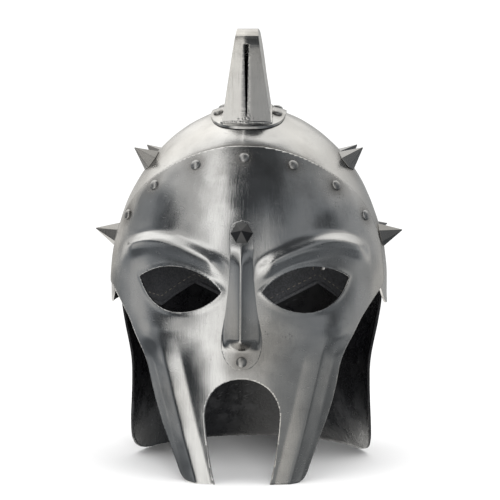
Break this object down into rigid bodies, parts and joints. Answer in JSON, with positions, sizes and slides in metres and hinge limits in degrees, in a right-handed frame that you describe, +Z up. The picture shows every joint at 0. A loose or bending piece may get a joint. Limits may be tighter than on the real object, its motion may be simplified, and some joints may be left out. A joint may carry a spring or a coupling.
{
  "type": "masked roman helmet",
  "caption": "Steel masked helmet with an arched comb crest, hexagonal studs, a ridged nose piece, long cheek guards, a flared black neck guard and a leather liner.",
  "frame": {"origin": "under the middle of the helmet's bounding box, on the surface it stands on", "axes": "+Z up, -Y the way the face looks, +X the wearer's left"},
  "size_m": [0.2394, 0.2724, 0.34],
  "materials": {
    "polished_steel": "satin polished sheet steel with blurred reflections",
    "dark_steel": "filed facets, darker than the sheet",
    "black_paint": "semi-gloss black paint, scuffed",
    "black_leather": "matt black leather"
  },
  "bodies": {
    "root": {"skull": "polished_steel", "face_mask": "polished_steel", "nasal": "polished_steel", "comb": "polished_steel", "nasal_rivet": "polished_steel", "mask_rivet_01": "polished_steel", "mask_rivet_02": "polished_steel", "mask_rivet_03": "polished_steel", "mask_rivet_04": "polished_steel", "mask_rivet_05": "polished_steel", "mask_rivet_06": "polished_steel", "mask_rivet_07": "polished_steel", "comb_rivet_01": "polished_steel", "comb_rivet_02": "polished_steel", "comb_rivet_03": "polished_steel", "comb_rivet_04": "polished_steel", "comb_rivet_05": "polished_steel", "comb_rivet_06": "polished_steel", "guard_rivet_01": "polished_steel", "guard_rivet_02": "polished_steel", "guard_rivet_03": "polished_steel", "guard_rivet_04": "polished_steel", "guard_rivet_05": "polished_steel", "brow_stud": "dark_steel", "skull_stud_01": "dark_steel", "skull_stud_02": "dark_steel", "skull_stud_03": "dark_steel", "skull_stud_04": "dark_steel", "skull_stud_05": "dark_steel", "skull_stud_06": "dark_steel", "skull_stud_07": "dark_steel", "skull_stud_08": "dark_steel", "skull_stud_09": "dark_steel", "skull_stud_10": "dark_steel", "skull_stud_11": "dark_steel", "skull_stud_12": "dark_steel", "skull_stud_13": "dark_steel", "neck_guard": "black_paint", "liner": "black_leather"}
  },
  "joints": []
}
